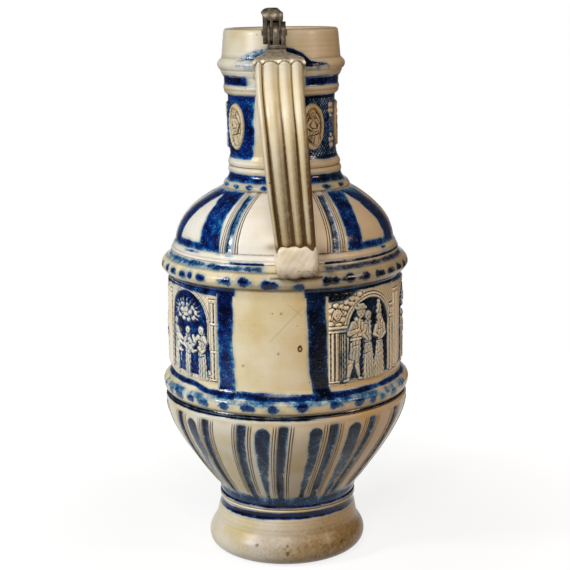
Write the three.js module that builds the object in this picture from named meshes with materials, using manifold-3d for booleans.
// Salt-glazed stoneware jug: a fluted baluster body thrown in six lengths and luted together at its
// cordons, with pressed reliefs, a reeded strap handle and the pewter hinge of a lid that is lost.
// Millimetres, +Z up. The origin is the middle of the underside, and the handle points along -Y.
import * as THREE from 'three';
import { mergeVertices } from 'three/addons/utils/BufferGeometryUtils.js';
import Module from 'manifold-3d';

const wasm = await Module();
wasm.setup();

// Heights of the six thrown lengths, from the table up
const FOOT_HEIGHT = 40.5;
const BOWL_HEIGHT = 72.5;
const DRUM_HEIGHT = 94.5;
const SHOULDER_HEIGHT = 41;
const NECK_HEIGHT = 59.5;
const COLLAR_HEIGHT = 42;

// Outer radii
const BASE_RADIUS = 44.7;
const FOOT_RADIUS = 53;
const WAIST_RADIUS = 45.2;
const BELLY_RADIUS = 80;
const DRUM_STEP = 3.2;
const LOWER_MOULDING_RISE = 5.6;
const UPPER_MOULDING_RISE = 4.9;
const SHOULDER_STEP = 1.6;
const NECK_ROOT_RADIUS = 41.6;
const NECK_RADIUS = 34.9;
const COLLAR_RING_RADIUS = 41.5;
const RIM_RADIUS = 37.2;

// Walls of the throwing
const WALL = 6;
const FLOOR = 9;

// Flutes pressed round the bowl, and gadroons round the shoulder
const FLUTES = 18;
const FLUTE_TURN = 1;
const FLUTE_LEAN = 5.5;
const FLUTE_DEPTH = 1.5;
const FLUTE_RIB = 0.7;
const LOBES = 6;
const LOBE_TURN = -1.2;
const LOBE_CHANNEL_DEPTH = 0.7;
const LOBE_RIB = 0.8;

// Pressed reliefs: an arcade of panels round the drum, ovals and straps round the neck
const PANELS = 7;
const BLANK_ANGLE = 53.5;
const BLANK_MIDDLE = -6.8;
const PANEL_SPACING = 1.2;
const PANEL_MARGIN = 1.75;
const SLIP_GAP = 0.3;
const PANEL_THICKNESS = 0.6;
const ARCADE_RISE = 0.9;
const FIGURE_SHARE = 0.46;
const FIGURE_FOOTING = 6;
const ROSETTE_RADIUS = 4;
const ROSETTE_DROP = 20;
const MEDALLION_WIDTH = 17.5;
const MEDALLION_HEIGHT = 31;
const MEDALLION_THICKNESS = 1.4;
const STRAP_WIDTH = 7;
const MEDALLIONS = 6;
const MEDALLION_FIRST_ANGLE = 34.5;
const MEDALLION_LAST_ANGLE = 303;

// Reeded strap handle and the pad of clay that holds its lower end
const HANDLE_WIDTH = 29;
const HANDLE_END_WIDTH = 24.5;
const HANDLE_THICKNESS = 11;
const HANDLE_REACH = 103;
const HANDLE_BEND_DROP = 38;
const HANDLE_TOP = 332;
const HANDLE_OFFSET = -1.8;
const HANDLE_DRIFT = 8.8;
const REED_DEPTH = 2.2;
const REED_WIDTHS = [0.14, 0.34, 0.27, 0.25];
const PAD_WIDTH = 29;
const PAD_HEIGHT = 20.5;
const PAD_PROUD = 6.5;
const PAD_ANGLE = 6.6;

// Pewter hinge: a band cast round the strap, three fixed leaves, a pin and the stub of the lid
const BAND_THICKNESS = 1.5;
const HINGE_OFFSET = -3;
const PIN_RISE = 16;
const PIN_RADIUS = 1.3;
const LEAF_RADIUS = 6.8;
const FIXED_LEAVES = [1.5, 3.6, 2.5];
const LID_LEAF = 1.1;
const LEAF_CLEARANCE = 0.3;
const CHEEK_THICKNESS = 2.7;
const STUB_HEIGHT = 15.2;

// Heights of the seams between the lengths
const WAIST_Z = FOOT_HEIGHT;
const BELLY_Z = WAIST_Z + BOWL_HEIGHT;
const SHOULDER_Z = BELLY_Z + DRUM_HEIGHT;
const NECK_Z = SHOULDER_Z + SHOULDER_HEIGHT;
const COLLAR_Z = NECK_Z + NECK_HEIGHT;
const RIM_Z = COLLAR_Z + COLLAR_HEIGHT;

// The drum's wall stands in from the belly; its mouldings stand out from it, the shoulder's foot in
const DRUM_RADIUS = BELLY_RADIUS - DRUM_STEP;
const LOWER_MOULDING_RADIUS = DRUM_RADIUS + LOWER_MOULDING_RISE;
const UPPER_MOULDING_RADIUS = DRUM_RADIUS + UPPER_MOULDING_RISE;
const SHOULDER_RADIUS = DRUM_RADIUS - SHOULDER_STEP;

// The hinge's pin stands over the top of the handle
const PIN_HEIGHT = HANDLE_TOP + PIN_RISE;

const rad = THREE.MathUtils.degToRad;

const clay = new THREE.MeshStandardMaterial({ color: 0xd8cbb0, roughness: 0.4, metalness: 0 });
const blueClay = new THREE.MeshStandardMaterial({ color: 0x33508f, roughness: 0.35, metalness: 0 });
const pewter = new THREE.MeshStandardMaterial({ color: 0x6f675e, roughness: 0.5, metalness: 0.8 });

// A turned outline, drawn upwards on the outside and down again on the inside
class Outline {
  constructor(radius, z) {
    this.points = [new THREE.Vector2(radius, z)];
  }
  to(radius, z) {
    this.points.push(new THREE.Vector2(radius, z));
    return this;
  }
  // A round bead or cove that ends at radius, z and stands out by rise half-way
  bead(rise, radius, z, steps = 3) {
    const from = this.points.at(-1);
    const middle = new THREE.Vector2((from.x + radius) / 2 + 2 * rise, (from.y + z) / 2);
    return this.along(new THREE.QuadraticBezierCurve(from, middle, new THREE.Vector2(radius, z)), steps);
  }
  // A long curve that leaves along one handle and arrives along the other
  sweep(leave, arrive, radius, z, steps) {
    const from = this.points.at(-1);
    const end = new THREE.Vector2(radius, z);
    const controls = [from.clone().add(leave), end.clone().sub(arrive)];
    return this.along(new THREE.CubicBezierCurve(from, ...controls, end), steps);
  }
  along(curve, steps) {
    this.points.push(...curve.getPoints(steps).slice(1));
    return this;
  }
}
const by = (radius, z) => new THREE.Vector2(radius, z);

// A lathe solid stood upright, its angle 0 at the handle
function turned(points, segments) {
  return new THREE.LatheGeometry(points, segments).rotateX(Math.PI / 2);
}

// Moves each column of a turned solid to its own angle, which may lean with height, and its outer skin
// in or out by relief
function pressed(geometry, angles, outerCount, relief, lean = () => 0) {
  const position = geometry.attributes.position;
  const column = position.count / (angles.length + 1);
  for (let i = 0; i < position.count; i += 1) {
    const z = position.getZ(i);
    const angle = rad(angles[Math.floor(i / column) % angles.length] + lean(z));
    const radius = Math.hypot(position.getX(i), position.getY(i));
    const swell = i % column < outerCount ? relief(THREE.MathUtils.radToDeg(angle), z) : 0;
    position.setXYZ(i, (radius + swell) * Math.sin(angle), -(radius + swell) * Math.cos(angle), z);
  }
  return geometry;
}

// Turns a geometry into a solid that can be joined and cut
function solid(geometry) {
  const bare = new THREE.BufferGeometry();
  const source = geometry.index ? geometry.toNonIndexed() : geometry;
  bare.setAttribute('position', source.attributes.position);
  const merged = mergeVertices(bare, 1e-4);
  return new wasm.Manifold(
    new wasm.Mesh({
      numProp: 3,
      vertProperties: merged.attributes.position.array,
      triVerts: new Uint32Array(merged.index.array),
    }),
  );
}

function geometryOf(body) {
  const { numProp, vertProperties, triVerts } = body.getMesh();
  const interleaved = new THREE.InterleavedBuffer(vertProperties, numProp);
  const geometry = new THREE.BufferGeometry();
  geometry.setAttribute('position', new THREE.InterleavedBufferAttribute(interleaved, 3, 0));
  geometry.setIndex(new THREE.BufferAttribute(triVerts, 1));
  return geometry.toNonIndexed();
}

// A closed form through rings of equally many corners, each counterclockwise about the way to the next
function loft(rings, caps = fan(rings[0].length)) {
  const corners = [];
  const last = rings.length - 1;
  for (let i = 0; i < last; i += 1) {
    rings[i].forEach((corner, k) => {
      const next = (k + 1) % rings[i].length;
      corners.push(corner, rings[i][next], rings[i + 1][k]);
      corners.push(rings[i + 1][k], rings[i][next], rings[i + 1][next]);
    });
  }
  caps.forEach(([a, b, c]) => {
    corners.push(rings[0][c], rings[0][b], rings[0][a]);
    corners.push(rings[last][a], rings[last][b], rings[last][c]);
  });
  return new THREE.BufferGeometry().setFromPoints(corners);
}
const fan = (count) => Array.from({ length: count - 2 }, (_, k) => [0, k + 1, k + 2]);

const joined = (geometries) => geometries.map(solid).reduce((whole, next) => whole.add(next));

const jug = new THREE.Group();
jug.name = 'stoneware_jug';

function place(name, geometry, material) {
  geometry.computeVertexNormals();
  const mesh = new THREE.Mesh(geometry, material);
  mesh.name = name;
  jug.add(mesh);
}

// Foot: a heavy bulging ring with the jug's floor, thrown with the narrow waist above it
const BODY_SEGMENTS = 40;
const NECK_SEGMENTS = 36;
const footRidge = 0.9;

function footProfile() {
  const inner = WAIST_RADIUS - WALL;
  return new Outline(0, 0)
    .to(BASE_RADIUS, 0)
    .sweep(by(6, 0), by(0, 4.5), FOOT_RADIUS, 10, 3)
    .sweep(by(0, 5), by(-1.2, 4), WAIST_RADIUS + 2.6, 22, 3)
    .to(WAIST_RADIUS + 0.9, WAIST_Z - 10)
    .bead(-0.4, WAIST_RADIUS, WAIST_Z - 4.5, 2)
    .bead(footRidge, WAIST_RADIUS, WAIST_Z - 2.3, 2)
    .bead(footRidge, WAIST_RADIUS, WAIST_Z, 2)
    .to(inner, WAIST_Z)
    .sweep(by(0.6, -14), by(-12, 0), inner / 2, FLOOR, 3)
    .to(0, FLOOR).points;
}
place('foot', turned(footProfile(), BODY_SEGMENTS), clay);

// Bowl: swells from the waist to the belly, with narrow hollow flutes between broad tongues
const fluteStart = WAIST_Z + 7;
const fluteEnd = BELLY_Z - 8;

function bowlOuter() {
  return new Outline(WAIST_RADIUS, WAIST_Z)
    .bead(0.4, WAIST_RADIUS + 0.9, WAIST_Z + 5, 2)
    .sweep(by(7.4, 10), by(0.5, 18), BELLY_RADIUS + 0.9, BELLY_Z - 6.5, 6)
    .bead(0.4, BELLY_RADIUS + 0.6, BELLY_Z - 2.6, 2)
    .to(BELLY_RADIUS - 0.4, BELLY_Z - 2.1)
    .to(BELLY_RADIUS + 0.7, BELLY_Z - 1.4)
    .to(BELLY_RADIUS, BELLY_Z).points;
}

function bowlInner() {
  return new Outline(BELLY_RADIUS - WALL, BELLY_Z)
    .sweep(by(-0.5, -24), by(-7.4, -12), WAIST_RADIUS - WALL, WAIST_Z, 4).points;
}

// The flutes lean: their feet lag behind their tops by FLUTE_LEAN degrees
const fluteLean = (z) => (FLUTE_LEAN * (z - fluteEnd)) / (fluteEnd - fluteStart);

// Depth of the flutes at an angle: a hollow between two ribs, then the flat of a tongue
function fluteRelief(angle, z) {
  if (z < fluteStart || z > fluteEnd) return 0;
  const turns = ((angle - fluteLean(z) - FLUTE_TURN) * FLUTES) / 360;
  const off = Math.abs(turns - Math.round(turns));
  const fade = Math.min(1, (z - fluteStart) / 6 + 0.35);
  if (off < 0.12) return -FLUTE_DEPTH * fade;
  return off < 0.24 ? FLUTE_RIB * fade : 0;
}

const fluteColumns = [-0.22, -0.1, 0.1, 0.22, 0.5];
const bowlAngles = Array.from({ length: FLUTES }, (_, k) =>
  fluteColumns.map((share) => ((k + share) * 360) / FLUTES + FLUTE_TURN),
).flat();
const bowlPoints = [...bowlOuter(), ...bowlInner(), bowlOuter()[0]];
const bowl = turned(bowlPoints, bowlAngles.length);
place('bowl', pressed(bowl, bowlAngles, bowlOuter().length, fluteRelief, fluteLean), clay);

// Drum: the upright wall that carries the frieze, between two heavy mouldings
const wallFoot = BELLY_Z + 15.5;
const wallTop = SHOULDER_Z - 16.5;

function drumOuter() {
  const lower = LOWER_MOULDING_RADIUS;
  const upper = UPPER_MOULDING_RADIUS;
  return new Outline(BELLY_RADIUS, BELLY_Z)
    .to(BELLY_RADIUS + 0.8, BELLY_Z + 0.9)
    .sweep(by(1.2, 1.4), by(0, 1.6), lower, BELLY_Z + 6, 2)
    .sweep(by(0, 2), by(-1.4, 1), lower - 2.4, BELLY_Z + 10, 2)
    .bead(-0.5, DRUM_RADIUS, wallFoot, 2)
    .to(DRUM_RADIUS, wallTop)
    .sweep(by(0.2, 2), by(0.8, 2), upper - 1.2, SHOULDER_Z - 12.4, 2)
    .sweep(by(0.8, 1.2), by(-0.2, 1.6), upper, SHOULDER_Z - 9.4, 2)
    .sweep(by(0, 2), by(-1.6, 1.2), upper - 3.4, SHOULDER_Z - 4, 3)
    .to(SHOULDER_RADIUS + 2, SHOULDER_Z - 3.4)
    .bead(-0.35, SHOULDER_RADIUS, SHOULDER_Z, 2).points;
}

function drumInner() {
  const inner = DRUM_RADIUS - WALL;
  return new Outline(SHOULDER_RADIUS - WALL, SHOULDER_Z)
    .bead(0.3, inner, wallTop, 2)
    .to(inner, wallFoot)
    .to(BELLY_RADIUS - WALL, BELLY_Z).points;
}
place('frieze_drum', turned([...drumOuter(), ...drumInner(), drumOuter()[0]], BODY_SEGMENTS), clay);

// Shoulder: a dome with six broad lobes, parted by channels between pairs of ribs
const domeFoot = SHOULDER_Z + 6.2;

function shoulderOuter() {
  return new Outline(SHOULDER_RADIUS, SHOULDER_Z)
    .bead(0.5, SHOULDER_RADIUS - 1.3, SHOULDER_Z + 2.4, 2)
    .bead(0.45, SHOULDER_RADIUS - 2.5, SHOULDER_Z + 5.6, 2)
    .to(SHOULDER_RADIUS - 3.5, domeFoot)
    .sweep(by(-1.1, 13.5), by(-19.6, 10.8), NECK_ROOT_RADIUS, NECK_Z, 7).points;
}

function shoulderInner() {
  return new Outline(NECK_ROOT_RADIUS - WALL, NECK_Z)
    .sweep(by(17, -9.5), by(1.4, -13), SHOULDER_RADIUS - WALL, SHOULDER_Z, 4).points;
}

// Height of the shoulder's ribs and channels; both die away where the dome meets the neck
function lobeRelief(angle, z) {
  if (z <= domeFoot || z >= NECK_Z) return 0;
  const pitch = 360 / LOBES;
  const turned = angle - LOBE_TURN;
  const off = Math.abs(turned - pitch * (Math.round(turned / pitch - 0.5) + 0.5));
  if (off < 2) return -LOBE_CHANNEL_DEPTH;
  return off < 5 ? LOBE_RIB : 0;
}

const lobeColumns = [-6, -4.4, -1.8, 1.8, 4.4, 6, 22, 38];
const lobeAngles = Array.from({ length: LOBES }, (_, k) =>
  lobeColumns.map((offset) => ((k + 0.5) * 360) / LOBES + LOBE_TURN + offset),
).flat();
const shoulder = turned([...shoulderOuter(), ...shoulderInner(), shoulderOuter()[0]], lobeAngles.length);
place('shoulder', pressed(shoulder, lobeAngles, shoulderOuter().length, lobeRelief), clay);

// Neck: an upright cylinder on a flared ring, with a cove and a double cordon below it
const neckFoot = NECK_Z + 21.5;
const neckTop = COLLAR_Z - 1;

function neckOuter() {
  return new Outline(NECK_ROOT_RADIUS, NECK_Z)
    .bead(0.6, NECK_RADIUS + 4.8, NECK_Z + 4.2, 2)
    .to(NECK_RADIUS + 4, NECK_Z + 4.6)
    .bead(-0.5, NECK_RADIUS + 1.7, NECK_Z + 9.3, 2)
    .bead(0.75, NECK_RADIUS + 1.3, NECK_Z + 13.8, 2)
    .bead(0.8, NECK_RADIUS + 1, NECK_Z + 18, 2)
    .to(NECK_RADIUS, neckFoot)
    .to(NECK_RADIUS, neckTop)
    .to(NECK_RADIUS + 0.3, COLLAR_Z).points;
}

function neckInner() {
  return new Outline(NECK_RADIUS + 0.3 - WALL, COLLAR_Z)
    .to(NECK_RADIUS - WALL + 0.5, neckFoot - 4)
    .bead(-0.6, NECK_ROOT_RADIUS - WALL, NECK_Z, 3).points;
}
place('neck', turned([...neckOuter(), ...neckInner(), neckOuter()[0]], NECK_SEGMENTS), clay);

// Collar: a double ridge, a hollow band, a sharp ring and the plain drinking rim
function collarOuter() {
  return new Outline(NECK_RADIUS + 0.3, COLLAR_Z)
    .bead(0.8, NECK_RADIUS + 2.3, COLLAR_Z + 3.3, 2)
    .bead(0.5, NECK_RADIUS + 2.3, COLLAR_Z + 6.4, 2)
    .bead(-0.1, NECK_RADIUS + 2.5, COLLAR_Z + 11.4, 2)
    .bead(0.3, COLLAR_RING_RADIUS - 2.9, COLLAR_Z + 13.4, 2)
    .bead(0.3, COLLAR_RING_RADIUS - 2, COLLAR_Z + 16, 2)
    .sweep(by(1.2, 0.4), by(0, 1.6), COLLAR_RING_RADIUS, COLLAR_Z + 19.5, 2)
    .sweep(by(0, 1.6), by(-1.2, 0.8), RIM_RADIUS + 1.4, COLLAR_Z + 23.5, 2)
    .to(RIM_RADIUS, RIM_Z - 3)
    .sweep(by(-0.1, 2), by(-1, 0), RIM_RADIUS - 2, RIM_Z, 2)
    .to(RIM_RADIUS - 4, RIM_Z).points;
}

function collarInner() {
  return new Outline(RIM_RADIUS - WALL, RIM_Z - 2.4).to(NECK_RADIUS + 0.3 - WALL, COLLAR_Z).points;
}
place('rim_collar', turned([...collarOuter(), ...collarInner(), collarOuter()[0]], NECK_SEGMENTS), clay);

// The jug's skin grown by a gap, for cutting what is luted onto it
function skin(outer, gap, segments) {
  const ends = [by(0, outer.at(-1).y), by(0, outer[0].y)];
  const grown = outer.map((p) => by(p.x + gap, p.y));
  return solid(turned([ends[1], ...grown, ends[0]], segments));
}
const drumSkin = skin(drumOuter(), SLIP_GAP, BODY_SEGMENTS);
const shoulderSkin = skin(shoulderOuter(), SLIP_GAP + LOBE_RIB, BODY_SEGMENTS);
const collarSkin = skin(collarOuter(), SLIP_GAP, NECK_SEGMENTS);

// Bends a flat form, drawn as x across, y up and z outwards, round the jug at a radius and an angle
function wrapped(geometry, radius, angle, z) {
  const position = geometry.attributes.position;
  for (let i = 0; i < position.count; i += 1) {
    const turn = rad(angle) + position.getX(i) / radius;
    const reach = radius + position.getZ(i);
    position.setXYZ(i, reach * Math.sin(turn), -reach * Math.cos(turn), z + position.getY(i));
  }
  return geometry;
}

// Frieze: pressed panels with an arch on two pilasters and a group of robed figures under it
const panelAngle = (360 - BLANK_ANGLE) / PANELS;
const panelRadius = DRUM_RADIUS + SLIP_GAP;
const panelWidth = rad(panelAngle) * panelRadius - PANEL_SPACING;
const pilasterWidth = panelWidth * 0.15;
const panelHeight = wallTop - wallFoot - 2 * PANEL_MARGIN;
const panelMiddle = (wallFoot + wallTop) / 2;
const figureHeight = panelHeight * FIGURE_SHARE;
const SUNK = 0.4;

// The arch and its two pilasters as one band, thickened at the feet and at the springing
function arcade() {
  const outer = panelWidth / 2 - 0.8;
  const inner = outer - pilasterWidth;
  const spring = panelHeight / 2 - 2 - outer;
  const ring = (turn, drop, spread, rise) => {
    const at = (radius, z) => {
      const y = spring + radius * Math.sin(turn) - drop;
      return new THREE.Vector3(radius * Math.cos(turn), y, z);
    };
    const [far, near] = [outer + spread / 2, inner - spread];
    const [back, front] = [PANEL_THICKNESS - SUNK, PANEL_THICKNESS + rise];
    return [at(far, back), at(far, front), at(near, front), at(near, back)];
  };
  const foot = spring + panelHeight / 2 - 1;
  const pilaster = (turn) => [
    ring(turn, foot, 0.8, ARCADE_RISE * 1.3),
    ring(turn, foot - 3, 0.8, ARCADE_RISE * 1.3),
    ring(turn, foot - 4, 0, ARCADE_RISE),
    ring(turn, 3, 0, ARCADE_RISE),
    ring(turn, 1.5, 0.8, ARCADE_RISE * 1.3),
  ];
  const arch = Array.from({ length: 9 }, (_, k) => ring(Math.PI * (1 - k / 8), 0, 0, ARCADE_RISE));
  return loft([...pilaster(Math.PI), ...arch, ...pilaster(0).reverse()]);
}

// Flattens the back of a rounded form, so that it sinks no deeper than SUNK into what it lies on
function flatBacked(geometry) {
  const position = geometry.attributes.position;
  for (let i = 0; i < position.count; i += 1) {
    position.setZ(i, Math.max(position.getZ(i), -SUNK));
  }
  return geometry;
}

// One robed figure in half relief: a flaring gown and a round head
function figure(x, height) {
  const gown = new THREE.CylinderGeometry(height * 0.07, height * 0.15, height * 0.8, 6);
  const head = new THREE.SphereGeometry(height * 0.1, 6, 3);
  return [
    flatBacked(gown.scale(1, 1, 0.5)).translate(x, height * 0.4, 0),
    flatBacked(head.scale(1, 1, 0.8)).translate(x, height * 0.88, 0),
  ];
}

function friezePanel(index) {
  const slab = new THREE.BoxGeometry(panelWidth, panelHeight, PANEL_THICKNESS, 6, 1, 1);
  slab.translate(0, 0, PANEL_THICKNESS / 2);
  const count = 2 + (index % 2);
  const pitch = (panelWidth / 2 - pilasterWidth) * (count === 3 ? 0.56 : 0.62);
  const group = Array.from({ length: count }, (_, k) => {
    const x = (k - (count - 1) / 2) * pitch;
    const height = figureHeight * (k === index % count ? 1.1 : 0.95);
    return figure(x, height).map((g) => g.translate(0, FIGURE_FOOTING - panelHeight / 2, PANEL_THICKNESS));
  }).flat();
  const rosette = flatBacked(new THREE.SphereGeometry(ROSETTE_RADIUS, 8, 4).scale(1, 1, 0.5));
  rosette.translate(0, panelHeight / 2 - ROSETTE_DROP, PANEL_THICKNESS);
  const angle = BLANK_MIDDLE + BLANK_ANGLE / 2 + (index - 0.5) * panelAngle;
  const forms = [slab, arcade(), rosette, ...group];
  return joined(forms.map((g) => wrapped(g, panelRadius, angle, panelMiddle)));
}

for (let index = 1; index <= PANELS; index += 1) {
  place(`frieze_panel_${index}`, geometryOf(friezePanel(index)), blueClay);
}

// A pressed plaque: rings of one outline, each level giving the share of its size and its height
function plaque(width, height, squareness, levels) {
  const around = 14;
  const bend = (c) => Math.sign(c) * Math.abs(c) ** squareness;
  const rings = [[0.35, 0], [1, 0], ...levels].map(([scale, z]) =>
    Array.from({ length: around }, (_, k) => {
      const turn = (2 * Math.PI * k) / around;
      const [x, y] = [bend(Math.cos(turn)), bend(Math.sin(turn))];
      return new THREE.Vector3((scale * width * x) / 2, (scale * height * y) / 2, z);
    }),
  );
  return loft(rings);
}

// Neck reliefs: oval medallions with a raised rim, and narrow straps between them
const reliefRadius = NECK_RADIUS + SLIP_GAP;
const reliefMiddle = (neckFoot + neckTop) / 2;
const thick = MEDALLION_THICKNESS;
const medallionPitch = (MEDALLION_LAST_ANGLE - MEDALLION_FIRST_ANGLE) / (MEDALLIONS - 1);

for (let k = 0; k < MEDALLIONS; k += 1) {
  const angle = MEDALLION_FIRST_ANGLE + k * medallionPitch;
  const oval = plaque(MEDALLION_WIDTH, MEDALLION_HEIGHT, 1, [
    [0.97, thick],
    [0.82, thick * 0.55],
    [0.45, thick * 0.8],
  ]);
  place(`neck_medallion_${k + 1}`, wrapped(oval, reliefRadius, angle, reliefMiddle), clay);
}

for (let k = 0; k < MEDALLIONS - 1; k += 1) {
  const angle = MEDALLION_FIRST_ANGLE + (k + 0.5) * medallionPitch;
  const strap = plaque(STRAP_WIDTH, MEDALLION_HEIGHT, 0.6, [
    [0.94, thick * 0.8],
    [0.5, thick],
  ]);
  place(`neck_strap_${k + 1}`, wrapped(strap, reliefRadius, angle, reliefMiddle), clay);
}

// Handle: a strap pulled with four reeds, sprung from the collar and bent down to the moulding
const padTop = SHOULDER_Z + 14.5;
const handleFoot = padTop - 6;
const padFront = UPPER_MOULDING_RADIUS + PAD_PROUD;
const handleMiddle = HANDLE_TOP - HANDLE_THICKNESS / 2;
const outermost = HANDLE_REACH - HANDLE_THICKNESS / 2;
const lowest = padFront - HANDLE_THICKNESS / 2;
const crown = (COLLAR_RING_RADIUS + outermost) / 2 - 8;
const handleLine = new THREE.CatmullRomCurve3(
  [
    [RIM_RADIUS - 3, handleMiddle - 4.5, 0],
    [RIM_RADIUS + 9, handleMiddle - 1.6, 0],
    [crown, handleMiddle, 0],
    [outermost - 9, handleMiddle - 13, 0.05],
    [outermost, handleMiddle - HANDLE_BEND_DROP, 0.31],
    [(outermost + lowest) / 2 + 1.5, (handleMiddle - HANDLE_BEND_DROP + padTop) / 2, 0.61],
    [lowest, padTop, 0.955],
    [lowest - 1.5, handleFoot, 1],
  ].map(([reach, z, drift]) => new THREE.Vector3(HANDLE_OFFSET + drift * HANDLE_DRIFT, -reach, z)),
  false,
  'centripetal',
);

// The strap's section, x across and y outwards, with a round reed for each share of its width
function strapSection(width, grow) {
  const half = HANDLE_THICKNESS / 2;
  const side = width / 2;
  const corner = HANDLE_THICKNESS * 0.3;
  const points = [[side, 0]];
  let right = side;
  [...REED_WIDTHS].reverse().forEach((share, k) => {
    const reed = width * share;
    for (let step = k === 0 ? 1 : 0; step < 4; step += 1) {
      const along = step / 4;
      points.push([right - along * reed, half - REED_DEPTH * (2 * along - 1) ** 2]);
    }
    right -= reed;
  });
  points.push([-side, 0], [0.4 * corner - side, corner - half], [1.6 * corner - side, -half]);
  points.push([side - 1.6 * corner, -half], [side - 0.4 * corner, corner - half]);
  return grown(points.map(([x, y]) => new THREE.Vector2(x, y)), grow);
}

// A closed outline moved outwards by an even distance
function grown(outline, distance) {
  return outline.map((point, k) => {
    const before = point.clone().sub(outline.at(k - 1)).normalize();
    const after = outline[(k + 1) % outline.length].clone().sub(point).normalize();
    const out = new THREE.Vector2(before.y + after.y, -before.x - after.x).normalize();
    return point.clone().addScaledVector(out, distance / (out.x * before.y - out.y * before.x));
  });
}

// Sweeps the strap's section along the handle line, between two of its STRAP_STEPS
const STRAP_STEPS = 22;
const strapCaps = THREE.ShapeUtils.triangulateShape(strapSection(HANDLE_WIDTH, 0), []);

function strapSweep(from, to, grow) {
  const rings = Array.from({ length: to - from + 1 }, (_, k) => {
    const share = (from + k) / STRAP_STEPS;
    const middle = handleLine.getPointAt(share);
    const ahead = handleLine.getTangentAt(share);
    const across = new THREE.Vector3(1, 0, 0).addScaledVector(ahead, -ahead.x).normalize();
    const outward = ahead.clone().cross(across);
    const width = THREE.MathUtils.lerp(HANDLE_WIDTH, HANDLE_END_WIDTH, share ** 2);
    return strapSection(width, grow).map((p) =>
      middle.clone().addScaledVector(across, p.x).addScaledVector(outward, p.y),
    );
  });
  return loft(rings, strapCaps);
}

// Pad: a wad of clay pressed over the strap's end and lapped over the upper moulding
function padBlock() {
  const side = PAD_WIDTH / 2;
  const round = 3;
  const shape = new THREE.Shape()
    .moveTo(round - side, 0)
    .lineTo(side - round, 0)
    .quadraticCurveTo(side, 0, side, round)
    .lineTo(side - 1, PAD_HEIGHT)
    .lineTo(1 - side, PAD_HEIGHT)
    .lineTo(-side, round)
    .quadraticCurveTo(-side, 0, round - side, 0);
  const bevel = 1.8;
  const block = new THREE.ExtrudeGeometry(shape, {
    depth: padFront - SHOULDER_RADIUS + 14 - bevel,
    bevelThickness: bevel,
    bevelSize: bevel,
    bevelOffset: -bevel,
    bevelSegments: 2,
    curveSegments: 3,
  });
  block.rotateX(Math.PI / 2).translate(0, -SHOULDER_RADIUS + 14, padTop - PAD_HEIGHT);
  return solid(block.rotateZ(rad(PAD_ANGLE)));
}
const pad = padBlock().subtract(drumSkin).subtract(shoulderSkin);
const strap = solid(strapSweep(0, STRAP_STEPS, 0))
  .subtract(collarSkin)
  .subtract(shoulderSkin)
  .trimByPlane([0, 0, 1], padTop + SLIP_GAP);
place('handle', geometryOf(strap), clay);
place('handle_terminal', geometryOf(pad), clay);

// Hinge mount: a pewter band cast round the strap, with a hood that rises to a pedestal and its three
// fixed leaves
const pinReach = COLLAR_RING_RADIUS + 9.5;
const pedestalTop = PIN_HEIGHT - LEAF_RADIUS - 0.4;
const lidGap = LID_LEAF + 2 * LEAF_CLEARANCE;
const hingeWidth = FIXED_LEAVES.reduce((sum, leaf) => sum + leaf, 2 * lidGap);
const hingeLeft = HINGE_OFFSET - hingeWidth / 2;

function band() {
  const middle = Array.from({ length: STRAP_STEPS }, (_, k) => k).find(
    (k) => -handleLine.getPointAt(k / STRAP_STEPS).y > pinReach,
  );
  const outer = solid(strapSweep(middle - 1, middle + 1, SLIP_GAP + BAND_THICKNESS));
  return outer.subtract(solid(strapSweep(middle - 2, middle + 2, SLIP_GAP)));
}

// A block lofted through oblong levels, each given as its height, left, right, outer and inner edge
function stepped(levels) {
  return loft(
    levels.map(([z, left, right, outer, inner]) => [
      new THREE.Vector3(left, -outer, z),
      new THREE.Vector3(right, -outer, z),
      new THREE.Vector3(right, -inner, z),
      new THREE.Vector3(left, -inner, z),
    ]),
  );
}

function pedestal() {
  const right = hingeLeft + hingeWidth;
  const outer = pinReach + LEAF_RADIUS;
  const inner = pinReach - LEAF_RADIUS;
  const side = HANDLE_WIDTH / 2 + SLIP_GAP + BAND_THICKNESS;
  return stepped([
    [HANDLE_TOP - 2.5, HANDLE_OFFSET - side, HANDLE_OFFSET + side, outer + 8, inner + 1],
    [HANDLE_TOP + 0.8, HANDLE_OFFSET - side + 1.2, HANDLE_OFFSET + side - 1.2, outer + 7, inner + 1],
    [HANDLE_TOP + 3.4, hingeLeft - 3, right + 4, outer + 3, inner + 1],
    [HANDLE_TOP + 5, hingeLeft, right, outer - 1, inner + 1],
    [pedestalTop - 2.2, hingeLeft, right, outer - 1, inner + 1],
    [pedestalTop - 1.8, hingeLeft - 0.4, right + 0.3, outer + 0.4, inner - 0.4],
    [pedestalTop, hingeLeft - 0.4, right + 0.3, outer + 0.4, inner - 0.4],
  ]);
}

// A hinge leaf seen from its side: a disc round the pin that runs down to the pedestal
function leaf(left, thickness, radius, outline) {
  const sides = new THREE.ExtrudeGeometry(outline(radius), {
    depth: thickness,
    bevelEnabled: false,
    curveSegments: 8,
  });
  const upright = new THREE.Matrix4().makeBasis(
    new THREE.Vector3(0, -1, 0),
    new THREE.Vector3(0, 0, 1),
    new THREE.Vector3(-1, 0, 0),
  );
  return sides.applyMatrix4(upright).translate(left + thickness, -pinReach, PIN_HEIGHT);
}

// Drawn with x towards the hand and y up, from the pin's middle
const standingLeaf = (radius) =>
  new THREE.Shape()
    .moveTo(-radius, -LEAF_RADIUS - 1)
    .lineTo(radius, -LEAF_RADIUS - 1)
    .lineTo(radius, 0)
    .absarc(0, 0, radius, 0, Math.PI, false);

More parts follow.
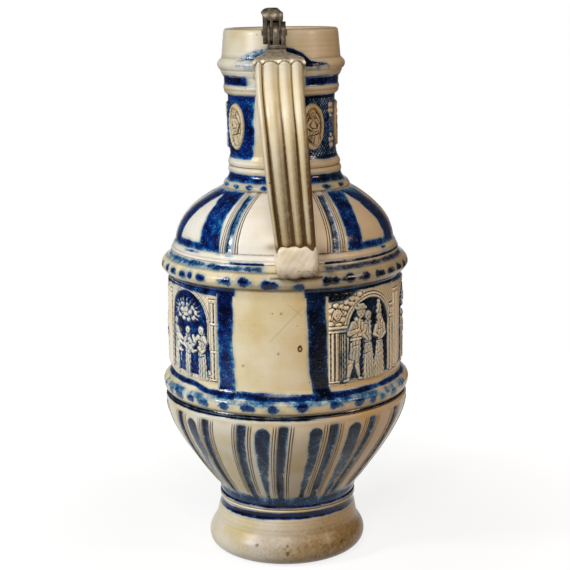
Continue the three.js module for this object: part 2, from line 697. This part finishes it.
// The lid's leaf is round towards the hand, and its square heel rests on the pedestal
const heelDrop = LEAF_RADIUS + 0.4 - LEAF_CLEARANCE;
const turningLeaf = (radius) =>
  new THREE.Shape()
    .moveTo(-radius, -heelDrop)
    .lineTo(0, -heelDrop)
    .absarc(0, -heelDrop + radius, radius, -Math.PI / 2, 0, false)
    .lineTo(radius, LEAF_RADIUS + 2)
    .lineTo(-radius, LEAF_RADIUS + 2);

const leafLefts = [hingeLeft, hingeLeft + FIXED_LEAVES[0] + lidGap];
leafLefts.push(leafLefts[1] + FIXED_LEAVES[1] + lidGap);
const lidLefts = leafLefts.slice(1).map((x) => x - lidGap + LEAF_CLEARANCE);

function pinRod(radius, from, to) {
  const rod = new THREE.CylinderGeometry(radius, radius, to - from, 16).rotateZ(Math.PI / 2);
  return rod.translate((from + to) / 2, -pinReach, PIN_HEIGHT);
}
const pinHole = solid(pinRod(PIN_RADIUS + 0.2, hingeLeft - 20, hingeLeft + 30));

const standing = leafLefts.map((x, k) => leaf(x, FIXED_LEAVES[k], LEAF_RADIUS, standingLeaf));
const clearLine = solid(strapSweep(0, STRAP_STEPS / 2, SLIP_GAP));
const mount = joined([pedestal(), ...standing]).add(band()).subtract(clearLine).subtract(pinHole);
place('hinge_mount', geometryOf(mount), pewter);

// Hinge pin: a plain rod through every leaf, its ends hammered over
const cheekLeft = hingeLeft - LEAF_CLEARANCE - CHEEK_THICKNESS;
const hingeRight = hingeLeft + hingeWidth;
const headRoom = 0.25;
const pin = joined([
  pinRod(PIN_RADIUS, cheekLeft - headRoom, hingeRight + headRoom),
  pinRod(PIN_RADIUS + 0.7, cheekLeft - headRoom - 0.6, cheekLeft - headRoom),
  pinRod(PIN_RADIUS + 0.7, hingeRight + headRoom, hingeRight + headRoom + 0.6),
]);
place('hinge_pin', geometryOf(pin), pewter);

// Lid stub: two thin leaves, an outer cheek and the broken root of the lid and its thumbpiece
function stubBlock() {
  const low = PIN_HEIGHT + LEAF_RADIUS + 0.5;
  const right = hingeRight - 1.6;
  const outer = pinReach + LEAF_RADIUS * 0.7;
  const inner = pinReach - LEAF_RADIUS - 1.4;
  return stepped([
    [low, cheekLeft, right, outer, inner],
    [low + 3.2, cheekLeft - 0.2, right + 0.3, outer, inner + 0.6],
    [low + 4.6, cheekLeft - 1.2, right, outer - 0.8, inner + 3],
    [PIN_HEIGHT + STUB_HEIGHT - 1.4, cheekLeft - 0.4, right - 2.2, outer - 1.6, inner + 4],
    [PIN_HEIGHT + STUB_HEIGHT, cheekLeft + 4, right - 4, outer - 3, inner + 5.6],
  ]);
}
const thinLeaves = lidLefts.map((x) => leaf(x, LID_LEAF, LEAF_RADIUS - 0.5, turningLeaf));
const cheek = leaf(cheekLeft, CHEEK_THICKNESS, LEAF_RADIUS - 1.6, turningLeaf);
const stub = joined([stubBlock(), cheek, ...thinLeaves]).subtract(pinHole);
place('lid_stub', geometryOf(stub), pewter);

export default jug;
